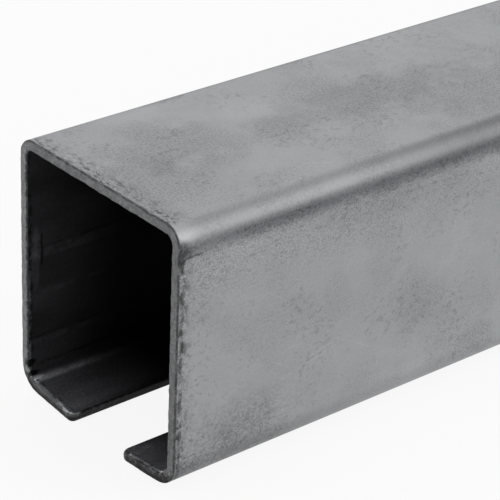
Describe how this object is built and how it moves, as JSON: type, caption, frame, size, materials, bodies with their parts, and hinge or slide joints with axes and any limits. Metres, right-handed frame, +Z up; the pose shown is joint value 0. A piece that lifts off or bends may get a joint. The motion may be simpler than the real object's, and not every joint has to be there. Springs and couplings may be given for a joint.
{
  "type": "sliding gate track",
  "caption": "Straight length of cold-formed steel channel with a slot along its bottom between two turned-in lips, in which the trolleys of a sliding gate run.",
  "frame": {"origin": "middle of the track's length, on its centre plane, level with the lowest edge of the lips", "axes": "+X along the length, +Y across the width, +Z up through the top web, with the slot facing -Z"},
  "size_m": [3, 0.07, 0.08],
  "materials": {
    "mill_steel": "bare mill finish, dull grey with dark scuffs, unpainted"
  },
  "bodies": {
    "root": {"gate_track": "mill_steel"}
  },
  "joints": []
}
